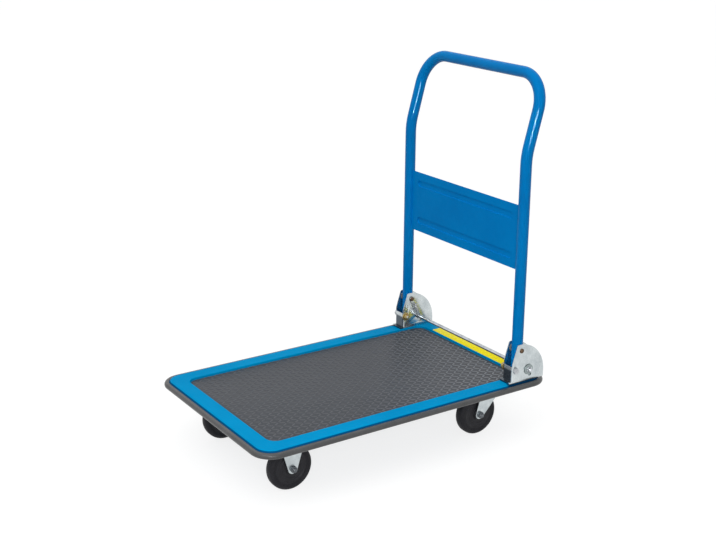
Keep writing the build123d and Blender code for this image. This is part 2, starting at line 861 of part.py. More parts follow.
save_platform()
save_castors()
save_handle()
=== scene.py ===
import json
from math import atan2, cos, pi, radians, sin, tan

import bmesh
import bpy
from mathutils import Matrix, Vector


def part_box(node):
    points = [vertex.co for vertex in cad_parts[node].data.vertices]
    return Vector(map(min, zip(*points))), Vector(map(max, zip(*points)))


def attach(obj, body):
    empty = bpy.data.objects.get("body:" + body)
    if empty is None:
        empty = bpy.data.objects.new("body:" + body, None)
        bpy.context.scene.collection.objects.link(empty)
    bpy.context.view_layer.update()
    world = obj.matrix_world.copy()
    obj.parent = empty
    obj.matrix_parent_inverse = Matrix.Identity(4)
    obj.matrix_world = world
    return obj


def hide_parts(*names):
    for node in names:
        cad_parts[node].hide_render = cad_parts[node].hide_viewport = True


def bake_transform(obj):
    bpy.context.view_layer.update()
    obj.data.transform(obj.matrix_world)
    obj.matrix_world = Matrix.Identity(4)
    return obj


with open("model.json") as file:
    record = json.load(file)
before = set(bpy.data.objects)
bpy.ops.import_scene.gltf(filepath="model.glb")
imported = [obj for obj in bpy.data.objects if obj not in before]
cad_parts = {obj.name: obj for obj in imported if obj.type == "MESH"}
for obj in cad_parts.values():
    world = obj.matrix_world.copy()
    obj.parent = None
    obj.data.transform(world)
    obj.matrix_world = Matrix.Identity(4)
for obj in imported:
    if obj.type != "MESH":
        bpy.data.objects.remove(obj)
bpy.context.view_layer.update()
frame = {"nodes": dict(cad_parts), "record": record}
mm = 0.001
print("frame loaded,", len(frame["nodes"]), "nodes")


def paint(red, green, blue):
    # screen colour, 0 to 255, as the linear colour that the shader wants
    channels = [c / 255 for c in (red, green, blue)]
    return [c / 12.92 if c <= 0.04045 else ((c + 0.055) / 1.055) ** 2.4 for c in channels] + [1.0]


def startFinish(name):
    finish = bpy.data.materials.new(name)
    finish.use_nodes = True
    tree = finish.node_tree
    place = tree.nodes.new("ShaderNodeTexCoord").outputs["Object"]
    return finish, tree, tree.nodes["Principled BSDF"], place


def stretched(tree, place, scale, turn=(0, 0, 0)):
    node = tree.nodes.new("ShaderNodeMapping")
    node.inputs["Scale"].default_value = scale
    node.inputs["Rotation"].default_value = [radians(a) for a in turn]
    tree.links.new(place, node.inputs["Vector"])
    return node.outputs["Vector"]


def noise(tree, place, scale, detail=2.0, rough=0.5):
    node = tree.nodes.new("ShaderNodeTexNoise")
    node.inputs["Scale"].default_value = scale
    node.inputs["Detail"].default_value = detail
    node.inputs["Roughness"].default_value = rough
    tree.links.new(place, node.inputs["Vector"])
    return node.outputs["Fac"]


def cells(tree, place, scale):
    node = tree.nodes.new("ShaderNodeTexVoronoi")
    node.inputs["Scale"].default_value = scale
    tree.links.new(place, node.inputs["Vector"])
    return node.outputs["Distance"]


def ramp(tree, factor, *stops):
    node = tree.nodes.new("ShaderNodeValToRGB")
    marks = node.color_ramp.elements
    while len(marks) < len(stops):
        marks.new(0.5)
    for mark, (position, color) in zip(marks, stops):
        mark.position = position
        mark.color = color
    tree.links.new(factor, node.inputs["Fac"])
    return node.outputs["Color"]


def mixed(tree, factor, under, over):
    node = tree.nodes.new("ShaderNodeMix")
    node.data_type = "RGBA"
    tree.links.new(factor, node.inputs["Factor"])
    colorSockets = (node.inputs[6], node.inputs[7])
    for socket, value in zip(colorSockets, (under, over)):
        if isinstance(value, list):
            socket.default_value = value
        else:
            tree.links.new(value, socket)
    return node.outputs[2]


def ranged(tree, factor, low, high, start=0.3, end=0.7):
    node = tree.nodes.new("ShaderNodeMapRange")
    node.inputs["From Min"].default_value = start
    node.inputs["From Max"].default_value = end
    node.inputs["To Min"].default_value = low
    node.inputs["To Max"].default_value = high
    tree.links.new(factor, node.inputs["Value"])
    return node.outputs["Result"]


def joined(tree, operation, *values):
    node = tree.nodes.new("ShaderNodeMath")
    node.operation = operation
    for value, socket in zip(values, node.inputs):
        tree.links.new(value, socket)
    return node.outputs[0]


def spread(tree, place):
    node = tree.nodes.new("ShaderNodeSeparateXYZ")
    tree.links.new(place, node.inputs["Vector"])
    return node.outputs


def steered(tree, operation, vector, *value):
    node = tree.nodes.new("ShaderNodeVectorMath")
    node.operation = operation
    tree.links.new(vector, node.inputs[0])
    if value:
        node.inputs[1].default_value = value
    return node.outputs["Value" if operation == "LENGTH" else "Vector"]


def offCore(tree, place, halfX, halfY, corner):
    # distance out from the core of a rounded oblong, whose edge lies at the corner radius
    flat = steered(tree, "ABSOLUTE", steered(tree, "MULTIPLY", place, 1, 1, 0))
    flat = steered(tree, "SUBTRACT", flat, (halfX - corner) * mm, (halfY - corner) * mm, 0)
    return steered(tree, "LENGTH", steered(tree, "MAXIMUM", flat, 0, 0, 0))


def between(tree, along, low, high, soft):
    # 1 from low to high in millimetres, fading out over the soft width
    rise = ranged(tree, along, 0.0, 1.0, (low - soft) * mm, low * mm)
    fall = ranged(tree, along, 1.0, 0.0, high * mm, (high + soft) * mm)
    return joined(tree, "MULTIPLY", rise, fall)


def bumped(tree, shader, height, depth):
    node = tree.nodes.new("ShaderNodeBump")
    node.inputs["Distance"].default_value = depth
    tree.links.new(height, node.inputs["Height"])
    tree.links.new(node.outputs["Normal"], shader.inputs["Normal"])


# blue stove enamel, with a faint orange peel and a little handling haze;
# on the deck, painted shade darkens the groove between rim and bumper, and a painted shadow lies on the
# border beside the brackets
enamel = {
    "deck": {"color": paint(0, 148, 204), "deep": paint(0, 140, 196), "haze": paint(12, 155, 206),
             "gloss": 0.008, "tint": (1, 1, 1, 1), "rough": (0.34, 0.5),
             "grooveShade": paint(2, 84, 132), "paintedShade": paint(2, 46, 78)},
    # the handle and the panel share the deck's paint: their darker blues are painted shade
    "handle": {"color": paint(0, 129, 203), "deep": paint(0, 121, 195), "haze": paint(8, 136, 206),
               "gloss": 0.05, "tint": (0.5, 0.88, 1, 1), "rough": (0.06, 0.1)},
    "panel": {"color": paint(0, 136, 212), "deep": paint(0, 128, 204), "haze": paint(6, 142, 214),
              "gloss": 0.02, "tint": (0.5, 0.88, 1, 1), "rough": (0.22, 0.32)},
    "peelSize": 620, "peelDepth": 0.012 * mm, "cloudSize": 7, "hazeSize": 46, "hazeMost": 0.28,
    "pan": (359.5, 226.5, 36.0), "rimReach": (33.4, 45.0), "grooveShadeZ": (132.0, 136.9),
    "besideX": (258.0, 345.0), "besideY": (219.0, 230.0), "besideZ": (137.1, 139.0),
}


# paints shade into the groove between rim and bumper, and the brackets' shadow onto the border beside
# them
def paintedRimShadeAndShadow(tree, place, color, shades):
    axes = spread(tree, place)
    low = between(tree, axes["Z"], *enamel["grooveShadeZ"], 0.6)
    rim = between(tree, offCore(tree, place, *enamel["pan"]), *enamel["rimReach"], 0.3)
    rim = joined(tree, "MULTIPLY", low, rim)
    color = mixed(tree, rim, color, shades["grooveShade"])
    top = joined(tree, "MAXIMUM", rim, between(tree, axes["Z"], *enamel["besideZ"], 0.3))
    beside = between(tree, joined(tree, "ABSOLUTE", axes["Y"]), *enamel["besideY"], 3.0)
    beside = joined(tree, "MULTIPLY", beside, between(tree, axes["X"], *enamel["besideX"], 6.0))
    return mixed(tree, joined(tree, "MULTIPLY", beside, top), color, shades["paintedShade"])


def enamelFinish(name, shades):
    finish, tree, shader, place = startFinish(name)
    clouds = noise(tree, place, enamel["cloudSize"], 4, 0.6)
    color = ramp(tree, clouds, (0.32, shades["deep"]), (0.62, shades["color"]))
    wear = noise(tree, place, enamel["hazeSize"], 6, 0.7)
    color = mixed(tree, ranged(tree, wear, 0.0, enamel["hazeMost"], 0.6, 0.8), color, shades["haze"])
    if "grooveShade" in shades:
        color = paintedRimShadeAndShadow(tree, place, color, shades)
    tree.links.new(color, shader.inputs["Base Color"])
    tree.links.new(ranged(tree, wear, *shades["rough"]), shader.inputs["Roughness"])
    bumped(tree, shader, noise(tree, place, enamel["peelSize"], 2), enamel["peelDepth"])
    shader.inputs["Specular IOR Level"].default_value = shades["gloss"]
    shader.inputs["Specular Tint"].default_value = shades["tint"]
    return finish


# bright zinc plate: soft spangle, rolling marks and dull patches;
# the hinge brackets carry painted shade low in front, between the cheeks
zinc = {
    "plate": {"light": paint(211, 218, 219), "dull": paint(174, 182, 185), "rough": (0.26, 0.4)},
    "bracket": {"light": paint(211, 218, 219), "dull": paint(174, 182, 185), "rough": (0.18, 0.3),
                "paintedShade": paint(84, 92, 100)},
    "bolt": {"light": paint(200, 203, 206), "dull": paint(158, 162, 166), "rough": (0.18, 0.32)},
    "axle": {"light": paint(138, 142, 146), "dull": paint(96, 100, 104), "rough": (0.44, 0.56)},
    "washer": {"light": paint(168, 178, 178), "dull": paint(118, 130, 130), "rough": (0.34, 0.48)},
    "spangleSize": 170, "spangleMost": 0.22, "patchSize": 38,
    "rollSize": 300, "rollStretch": (1, 1, 14), "rollDepth": 0.006 * mm,
    "paintedShadeX": (200.0, 268.6), "paintedShadeY": (180.0, 217.5), "paintedShadeZ": (130.0, 166.0),
}


def zincFinish(name, shades):
    finish, tree, shader, place = startFinish(name)
    spangle = cells(tree, place, zinc["spangleSize"])
    patches = noise(tree, place, zinc["patchSize"], 5, 0.65)
    grain = noise(tree, stretched(tree, place, zinc["rollStretch"]), zinc["rollSize"], 3)
    tone = mixed(tree, ranged(tree, patches, 0.0, 1.0), shades["dull"], shades["light"])
    flecks = ranged(tree, spangle, 0.0, zinc["spangleMost"], 0.2, 0.9)
    tone = mixed(tree, flecks, tone, shades["dull"])
    # painted shade low in front of the bracket, between its cheeks
    if "paintedShade" in shades:
        axes = spread(tree, place)
        front = between(tree, axes["X"], *zinc["paintedShadeX"], 0.6)
        inside = between(tree, joined(tree, "ABSOLUTE", axes["Y"]), *zinc["paintedShadeY"], 1.0)
        below = between(tree, axes["Z"], *zinc["paintedShadeZ"], 4.0)
        paintedShade = joined(tree, "MULTIPLY", joined(tree, "MULTIPLY", front, inside), below)
        tone = mixed(tree, paintedShade, tone, shades["paintedShade"])
    tree.links.new(tone, shader.inputs["Base Color"])
    tree.links.new(ranged(tree, grain, *shades["rough"]), shader.inputs["Roughness"])
    bumped(tree, shader, grain, zinc["rollDepth"])
    shader.inputs["Metallic"].default_value = 1.0
    return finish


# bare and plated steel: fine grain, stained in patches; the rod is drawn along Y
steel = {
    "pin": {"light": paint(108, 88, 70), "dull": paint(80, 62, 48), "rough": (0.5, 0.62),
            "brush": (1, 1, 1)},
    "wire": {"light": paint(190, 193, 196), "dull": paint(150, 153, 158), "rough": (0.18, 0.32),
             "brush": (1, 1, 1)},
    "rod": {"light": paint(208, 212, 216), "dull": paint(178, 182, 187), "rough": (0.06, 0.12),
            "brush": (1, 12, 1)},
    "ball": {"light": paint(222, 222, 224), "dull": paint(200, 200, 204), "rough": (0.08, 0.14),
             "brush": (1, 1, 1)},
    "grainSize": 420, "grainDepth": 0.008 * mm, "stainSize": 60,
}


def steelFinish(name, shades):
    finish, tree, shader, place = startFinish(name)
    grain = noise(tree, stretched(tree, place, shades["brush"]), steel["grainSize"], 4, 0.6)
    stain = noise(tree, place, steel["stainSize"], 5, 0.7)
    tone = ramp(tree, stain, (0.35, shades["dull"]), (0.6, shades["light"]))
    tree.links.new(tone, shader.inputs["Base Color"])
    tree.links.new(ranged(tree, grain, *shades["rough"]), shader.inputs["Roughness"])
    bumped(tree, shader, grain, steel["grainDepth"])
    shader.inputs["Metallic"].default_value = 1.0
    return finish


# gold chromate that drifts to pink and green
gold = {
    "tones": [(0.3, paint(158, 144, 98)), (0.45, paint(184, 166, 114)), (0.6, paint(180, 156, 120)),
              (0.72, paint(160, 160, 116))],
    "driftSize": 90, "grainSize": 500, "rough": (0.44, 0.56),
}


def goldFinish(name):
    finish, tree, shader, place = startFinish(name)
    drift = noise(tree, place, gold["driftSize"], 3, 0.6)
    tree.links.new(ramp(tree, drift, *gold["tones"]), shader.inputs["Base Color"])
    grain = noise(tree, place, gold["grainSize"])
    tree.links.new(ranged(tree, grain, *gold["rough"]), shader.inputs["Roughness"])
    shader.inputs["Metallic"].default_value = 1.0
    return finish


# rubber, vinyl and plastic: a fine grain, and a paler bloom in patches
moulded = {
    "bumper": {"color": paint(64, 65, 66), "bloom": paint(76, 77, 78), "rough": (0.24, 0.36),
               "grainSize": 700, "grainDepth": 0.02 * mm, "gloss": 0.5},
    "marker": {"color": paint(255, 241, 26), "bloom": paint(252, 232, 34), "rough": (0.3, 0.4),
               "grainSize": 500, "grainDepth": 0.01 * mm, "gloss": 0.05},
    # nylon washers: a darker grey than natural nylon
    "nylon": {"color": paint(150, 147, 136), "bloom": paint(132, 129, 118), "rough": (0.4, 0.5),
              "grainSize": 800, "grainDepth": 0.01 * mm, "gloss": 0.2},
    "plug": {"color": paint(30, 30, 32), "bloom": paint(40, 40, 42), "rough": (0.4, 0.55),
             "grainSize": 800, "grainDepth": 0.03 * mm, "gloss": 0.2},
    "tyre": {"color": paint(36, 36, 40), "bloom": paint(50, 50, 54), "rough": (0.5, 0.7),
             "grainSize": 1200, "grainDepth": 0.03 * mm, "gloss": 0.2},
    "hub": {"color": paint(40, 40, 44), "bloom": paint(52, 52, 56), "rough": (0.38, 0.52),
            "grainSize": 900, "grainDepth": 0.03 * mm, "gloss": 0.2},
    "bloomSize": 30,
}


def mouldedFinish(name, shades):
    finish, tree, shader, place = startFinish(name)
    patches = noise(tree, place, moulded["bloomSize"], 6, 0.65)
    tone = ramp(tree, patches, (0.38, shades["color"]), (0.72, shades["bloom"]))
    tree.links.new(tone, shader.inputs["Base Color"])
    grain = noise(tree, place, shades["grainSize"], 3, 0.6)
    tree.links.new(ranged(tree, grain, *shades["rough"]), shader.inputs["Roughness"])
    bumped(tree, shader, grain, shades["grainDepth"])
    shader.inputs["Specular IOR Level"].default_value = shades["gloss"]
    return finish


# grey vinyl: the tread's bars are paler than the ground, partly wear and partly painted highlight, and a
# painted sheen makes them palest at the near handle corner
vinyl = {
    "ground": paint(68, 71, 76), "bar": paint(84, 87, 92), "worn": paint(126, 129, 134),
    "heights": (132.86, 133.15), "wornTurn": 35, "wornReach": (20, 340),
    "patchSize": 30, "patchMost": 0.25, "grainSize": 900, "grainDepth": 0.05 * mm,
    "rough": (0.36, 0.52), "gloss": 0.16,
}


def vinylFinish(name):
    finish, tree, shader, place = startFinish(name)
    # painted sheen: the bars grow paler towards the near handle corner
    reach = spread(tree, stretched(tree, place, (1, 1, 1), (0, 0, vinyl["wornTurn"])))["X"]
    start, end = vinyl["wornReach"]
    paintedSheenMask = ranged(tree, reach, 0.0, 1.0, start * mm, end * mm)
    bars = mixed(tree, paintedSheenMask, vinyl["bar"], vinyl["worn"])
    low, high = vinyl["heights"]
    raised = ranged(tree, spread(tree, place)["Z"], 0.0, 1.0, low * mm, high * mm)
    color = mixed(tree, raised, vinyl["ground"], bars)
    patches = noise(tree, place, vinyl["patchSize"], 6, 0.65)
    color = mixed(tree, ranged(tree, patches, 0.0, vinyl["patchMost"], 0.4, 0.75), color, vinyl["bar"])
    tree.links.new(color, shader.inputs["Base Color"])
    grain = noise(tree, place, vinyl["grainSize"], 3, 0.6)
    tree.links.new(ranged(tree, grain, *vinyl["rough"]), shader.inputs["Roughness"])
    bumped(tree, shader, grain, vinyl["grainDepth"])
    shader.inputs["Specular IOR Level"].default_value = vinyl["gloss"]
    return finish


# one finish for each of the record's slots, then those of single pieces
finishes = {
    "deck_paint": enamelFinish("deckEnamel", enamel["deck"]),
    "handle_paint": enamelFinish("handleEnamel", enamel["handle"]),
    "mat_vinyl": vinylFinish("matVinyl"),
    "bumper_pvc": mouldedFinish("bumperVinyl", moulded["bumper"]),
    "marker_vinyl": mouldedFinish("markerFilm", moulded["marker"]),
    "zinc_plate": zincFinish("brightZinc", zinc["plate"]),
    "bolt_zinc": zincFinish("boltZinc", zinc["bolt"]),
    "yellow_zinc": goldFinish("goldPassivate"),
    "pin_steel": steelFinish("brownedPin", steel["pin"]),
    "spring_steel": steelFinish("springWire", steel["wire"]),
    "bar_steel": steelFinish("platedRod", steel["rod"]),
    "ball_steel": steelFinish("ballSteel", steel["ball"]),
    "washer_nylon": mouldedFinish("darkenedNylon", moulded["nylon"]),
    "plug_plastic": mouldedFinish("plugPlastic", moulded["plug"]),
    "tyre_rubber": mouldedFinish("tyreRubber", moulded["tyre"]),
    "hub_plastic": mouldedFinish("hubPlastic", moulded["hub"]),
}
bracketZinc = zincFinish("bracketZinc", zinc["bracket"])
axleZinc = zincFinish("axleZinc", zinc["axle"])
washerZinc = zincFinish("washerZinc", zinc["washer"])
ownFinish = {"handle_panel": enamelFinish("panelEnamel", enamel["panel"])}
for part in frame["record"]["subparts"]:
    node = frame["nodes"][part["node"]]
    node.data.materials.clear()
    node.data.materials.append(ownFinish.get(part["node"], finishes[part["material_slot"]]))


# pieces are drawn in millimetres and brought to metres when they are published
def publish(bm, name, body, slot, *replaced, crease=32, finish=None):
    bmesh.ops.scale(bm, vec=(mm, mm, mm), verts=bm.verts[:])
    mesh = bpy.data.meshes.new(name)
    bm.to_mesh(mesh)
    bm.free()
    for layer in ("custom_normal", "sharp_edge", "sharp_face"):
        if layer in mesh.attributes:
            mesh.attributes.remove(mesh.attributes[layer])
    mesh.materials.clear()
    mesh.materials.append(finish or finishes[slot])
    mesh.shade_smooth()
    mesh.set_sharp_from_angle(angle=radians(crease))
    piece = bpy.data.objects.new(name, mesh)
    bpy.context.scene.collection.objects.link(piece)
    if body:
        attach(piece, body)
    if replaced:
        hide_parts(*replaced)
    return piece


def nodeBox(node):
    low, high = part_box(node)
    return Vector(low) / mm, Vector(high) / mm


def ofType(geom, kind):
    return [e for e in geom if isinstance(e, kind)]


def openRim(geom):
    return [e for e in ofType(geom, bmesh.types.BMEdge) if e.is_boundary]


def rimPoints(rim):
    return list(dict.fromkeys(v for e in rim for v in e.verts))


def startRing(bm, radius, sides, place=(0, 0, 0), heading=(0, 0, 1)):
    turn = Vector((0, 0, 1)).rotation_difference(Vector(heading)).to_matrix().to_4x4()
    made = bmesh.ops.create_circle(bm, segments=sides, radius=radius,
                                   matrix=Matrix.Translation(place) @ turn)
    return list(dict.fromkeys(e for v in made["verts"] for e in v.link_edges))


def runOn(bm, rim, step):
    made = bmesh.ops.extrude_edge_only(bm, edges=rim)["geom"]
    bmesh.ops.translate(bm, verts=ofType(made, bmesh.types.BMVert), vec=step)
    return openRim(made)


def turnOn(bm, rim, center, axis, angle, steps, climb=(0, 0, 0)):
    made = bmesh.ops.spin(bm, geom=rimPoints(rim) + rim, cent=center, axis=axis, angle=radians(angle),
                          steps=steps, dvec=climb)
    return ofType(made["geom_last"], bmesh.types.BMEdge)


def closeUp(bm):
    bmesh.ops.holes_fill(bm, edges=[e for e in bm.edges if e.is_boundary], sides=0)
    bmesh.ops.recalc_face_normals(bm, faces=bm.faces[:])


def roundPoint(bm, point, size, steps):
    bmesh.ops.bevel(bm, geom=[point], offset=size, offset_type="OFFSET", segments=steps, profile=0.5,
                    affect="VERTICES", clamp_overlap=False, material=-1)


def easeEdges(bm, edges, width):
    bmesh.ops.bevel(bm, geom=edges, offset=width, offset_type="OFFSET", segments=2, profile=0.5,
                    affect="EDGES", clamp_overlap=True, material=-1)


def sharpEdges(bm, least=35):
    return [e for e in bm.edges if e.is_manifold and e.calc_face_angle(0.0) > radians(least)]


def outlineFace(bm, points):
    # points of (radius, height) or (radius, height, rounding), on the XZ plane
    corners = [bm.verts.new((p[0], 0, p[1])) for p in points]
    bm.faces.new(corners)
    for corner, point in zip(corners, points):
        if len(point) > 2:
            steps = 3 if point[2] < 1 else 8
            roundPoint(bm, corner, point[2], steps)


def turned(points, steps=48):
    bm = bmesh.new()
    outlineFace(bm, points)
    bmesh.ops.delete(bm, geom=bm.faces[:], context="FACES_ONLY")
    bmesh.ops.spin(bm, geom=bm.verts[:] + bm.edges[:], cent=(0, 0, 0), axis=(0, 0, 1), angle=2 * pi,
                   steps=steps, use_merge=True)
    bmesh.ops.remove_doubles(bm, verts=bm.verts[:], dist=0.0005)
    bmesh.ops.delete(bm, geom=[e for e in bm.edges if e.is_wire], context="EDGES")
    bmesh.ops.recalc_face_normals(bm, faces=bm.faces[:])
    return bm


def stamp(target, shape, *places):
    mesh = bpy.data.meshes.new("stamp")
    shape.to_mesh(mesh)
    shape.free()
    for place in places:
        before = len(target.verts)
        target.from_mesh(mesh)
        target.verts.ensure_lookup_table()
        bmesh.ops.transform(target, matrix=place, verts=target.verts[before:])
    bpy.data.meshes.remove(mesh)


def alongY(x, y, z, toward):
    # lays a piece that was made on Z along Y, its top toward + or -
    return Matrix.Translation((x, y, z)) @ Matrix.Rotation(radians(-90 * toward), 4, "X")


def roundedCopy(node, width):
    # the CAD shape with its sharp edges broken
    bm = bmesh.new()
    bm.from_mesh(frame["nodes"][node].data)
    bmesh.ops.scale(bm, vec=(1 / mm, 1 / mm, 1 / mm), verts=bm.verts[:])
    bmesh.ops.remove_doubles(bm, verts=bm.verts[:], dist=0.002)
    bmesh.ops.dissolve_limit(bm, angle_limit=radians(0.5), verts=bm.verts[:], edges=bm.edges[:])
    easeEdges(bm, sharpEdges(bm), width)
    return bm


def flatSheet(low, high, thick, shape):
    # a thin sheet with rounded corners and an eased top edge
    bm = bmesh.new()
    bmesh.ops.create_grid(bm, x_segments=1, y_segments=1, size=0.5)
    bmesh.ops.scale(bm, vec=(high.x - low.x, high.y - low.y, 1), verts=bm.verts[:])
    middle = (low + high) / 2
    bmesh.ops.translate(bm, vec=(middle.x, middle.y, low.z), verts=bm.verts[:])
    for corner in bm.verts[:]:
        roundPoint(bm, corner, shape["corner"], shape["cornerSteps"])
    made = bmesh.ops.extrude_face_region(bm, geom=bm.faces[:])["geom"]
    bmesh.ops.translate(bm, vec=(0, 0, thick), verts=ofType(made, bmesh.types.BMVert))
    bmesh.ops.recalc_face_normals(bm, faces=bm.faces[:])
    top = [e for e in sharpEdges(bm) if min(v.co.z for v in e.verts) > low.z + thick / 2]
    easeEdges(bm, top, shape["edge"])
    return bm


# hexagon bolts and nuts: widths are shares of the flats, the thread's are shares of its radius and pitch,
# and depths are in millimetres
hexShape = {
    "cone": 28, "coneFoot": 0.475, "dimple": 0.2, "dimpleDepth": 0.15, "seat": 0.48, "seatDepth": 0.35,
    "plainShank": 0.55, "pointLength": 0.6, "pointWidth": 0.82,
    "rootWidth": 0.91, "crest": (0.15, 0.5, 0.85),
    "mouth": 0.4, "collar": (0.45, 0.44, 0.41, 0.37, 0.36), "collarLip": 0.7,
}


def hexReach(flats, angle):
    return flats / 2 / cos(angle % (pi / 3) - pi / 6)


def stackRings(bm, rings, sides=24):
    # rings of (kind, size, height): round by radius, or hex by flats, its corners drawn in by a cone
    first = startRing(bm, 1, sides)
    rim = first
    slope = tan(radians(hexShape["cone"]))
    for number, (kind, size, height) in enumerate(rings):
        if number:
            rim = runOn(bm, rim, (0, 0, 0))
        for point in rimPoints(rim):
            angle = atan2(point.co.y, point.co.x)
            reach = size if kind == "round" else hexReach(size, angle)
            toward = {"hexTop": -1, "hexFoot": 1}.get(kind, 0)
            drop = toward * (reach - size * hexShape["coneFoot"]) * slope
            point.co = (cos(angle) * reach, sin(angle) * reach, height + drop)
    return first, rim


def threadRings(radius, start, end, pitch):
    rings = []
    up, root, down = hexShape["crest"]
    for number in range(int((end - start) / pitch)):
        z = start + number * pitch
        rings += [("round", radius, z + pitch * up)]
        rings += [("round", radius * hexShape["rootWidth"], z + pitch * root)]
        rings += [("round", radius, z + pitch * down)]
    return rings


def hexBolt(radius, flats, head, length, pitch):
    # head below Z 0, shank up, the end threaded
    seat, seatDepth = flats * hexShape["seat"], hexShape["seatDepth"]
    point = length - hexShape["pointLength"]
    rings = [("round", flats * hexShape["dimple"], hexShape["dimpleDepth"] - head)]
    rings += [("round", flats * hexShape["coneFoot"], -head), ("hexFoot", flats, -head)]
    rings += [("hex", flats, -seatDepth), ("round", seat, -seatDepth), ("round", seat, 0)]
    rings += [("round", radius, 0)]
    rings += threadRings(radius, length * hexShape["plainShank"], point, pitch)
    rings += [("round", radius, point), ("round", radius * hexShape["pointWidth"], length)]
    bm = bmesh.new()
    stackRings(bm, rings)
    closeUp(bm)
    return bm


def hexNut(bore, flats, height, collar=0.0):
    mouth, foot = hexShape["mouth"], flats * hexShape["coneFoot"]
    lip = height + collar * hexShape["collarLip"]
    rings = [("round", bore, mouth), ("round", bore + mouth, 0), ("round", foot, 0)]
    rings += [("hexFoot", flats, 0), ("hexTop", flats, height), ("round", foot, height)]
    if collar:
        heights = (height, lip, height + collar, height + collar, lip)
        rings += [("round", flats * share, z) for share, z in zip(hexShape["collar"], heights)]
    rings += [("round", bore + mouth, lip), ("round", bore, lip - mouth)]
    bm = bmesh.new()
    first, last = stackRings(bm, rings)
    bmesh.ops.bridge_loops(bm, edges=first + last)
    bmesh.ops.recalc_face_normals(bm, faces=bm.faces[:])
    return bm


# grey vinyl mat, lozenge bars in a herringbone
treadMat = {
    "corner": 22.0, "cornerSteps": 12, "edge": 0.35, "sheet": 1.05, "margin": 0.5,
    "stepX": 14.0, "stepY": 10.2, "lean": 36, "cornerReach": (0.8, 0.6),
    "barLength": 14.6, "barWidth": 4.9, "barSides": 10, "barSink": 0.05, "rise": 0.7,
    "barSteps": ((0.68, 0.88), (0.32, 0.72)),
}


def treadBar():
    bm = bmesh.new()
    rim = startRing(bm, 1, treadMat["barSides"])
    bmesh.ops.scale(bm, vec=(treadMat["barLength"] / 2, treadMat["barWidth"] / 2, 1), verts=bm.verts[:])
    for rise, shrink in treadMat["barSteps"]:
        rim = runOn(bm, rim, (0, 0, treadMat["rise"] * rise))
        bmesh.ops.scale(bm, vec=(shrink, shrink, 1), verts=rimPoints(rim))
    closeUp(bm)
    return bm


def barSpots(high):
    # every lattice point whose bar isn't outside the sheet or over a rounded corner
    corner = treadMat["corner"]
    reachX, reachY = [treadMat["barLength"] / 2 * share for share in treadMat["cornerReach"]]
    lastX, lastY = int(high.x / treadMat["stepX"]), int(high.y / treadMat["stepY"])
    spots = []
    for i in range(-lastX, lastX + 1):
        for j in range(-lastY, lastY + 1):
            x = i * treadMat["stepX"]
            y = j * treadMat["stepY"]
            overX = abs(x) + reachX - (high.x - corner)
            overY = abs(y) + reachY - (high.y - corner)
            inCorner = overX > 0 and overY > 0 and overX * overX + overY * overY > corner * corner
            if not inCorner:
                spots.append((x, y, treadMat["lean"] if (i + j) % 2 == 0 else -treadMat["lean"]))
    return spots


def makeTreadMat():
    low, high = nodeBox("deck_mat")
    bars = bmesh.new()
    top = low.z + treadMat["sheet"] - treadMat["barSink"]
    spots = barSpots(high)
    stamp(bars, treadBar(), *[Matrix.Translation((x, y, top)) @ Matrix.Rotation(radians(lean), 4, "Z")
                              for x, y, lean in spots])
    for side in (Vector((1, 0, 0)), Vector((-1, 0, 0)), Vector((0, 1, 0)), Vector((0, -1, 0))):
        reach = (high.x if side.x else high.y) - treadMat["margin"]
        whole = bars.verts[:] + bars.edges[:] + bars.faces[:]
        cut = bmesh.ops.bisect_plane(bars, geom=whole, dist=0.0001, plane_co=side * reach,
                                     plane_no=side, clear_outer=True)
        bmesh.ops.holes_fill(bars, edges=ofType(cut["geom_cut"], bmesh.types.BMEdge), sides=0)
    stamp(bars, flatSheet(low, high, treadMat["sheet"], treadMat), Matrix.Identity(4))
    publish(bars, "treadMat", "chassis", "mat_vinyl", "deck_mat", crease=40)
    print("mat with", len(spots), "bars")


# soft strip round the rim; its ends meet at the handle end
bumper = {
    "reach": 10.5, "nose": 5.3, "heel": 0.7, "seam": 0.8, "corner": 36.0, "cornerSteps": 20,
}


def makeBumper():
    low, high = nodeBox("bumper_strip")
    edgeX = high.x - bumper["reach"]
    centerX = edgeX - bumper["corner"]
    centerY = high.y - bumper["reach"] - bumper["corner"]
    nose, heel = bumper["nose"], bumper["heel"]
    bm = bmesh.new()
    outlineFace(bm, [(edgeX, low.z, heel), (high.x, low.z, nose),
                     (high.x, high.z, nose), (edgeX, high.z, heel)])
    bmesh.ops.translate(bm, vec=(0, bumper["seam"] / 2, 0), verts=bm.verts[:])
    bmesh.ops.delete(bm, geom=bm.faces[:], context="FACES_ONLY")
    rim = bm.edges[:]
    halfEnd = (0, centerY - bumper["seam"] / 2, 0)
    rim = runOn(bm, rim, halfEnd)
    side = Vector((-2 * centerX, 0, 0))
    end = Vector((0, -2 * centerY, 0))
    for center, run in (((centerX, centerY, 0), side), ((-centerX, centerY, 0), end),
                        ((-centerX, -centerY, 0), -side), ((centerX, -centerY, 0), halfEnd)):
        rim = turnOn(bm, rim, center, (0, 0, 1), 90, bumper["cornerSteps"])
        rim = runOn(bm, rim, run)
    closeUp(bm)
    publish(bm, "bumperStrip", "chassis", "bumper_pvc", "bumper_strip")
    print("bumper strip")


# plain yellow film on the border at the handle end
markerFilm = {"corner": 2.5, "cornerSteps": 6, "edge": 0.15}


def makeMarker():
    low, high = nodeBox("marker_strip")
    bm = flatSheet(low, high, high.z - low.z, markerFilm)
    publish(bm, "markerFilm", "chassis", "marker_vinyl", "marker_strip")
    print("plain marker strip")


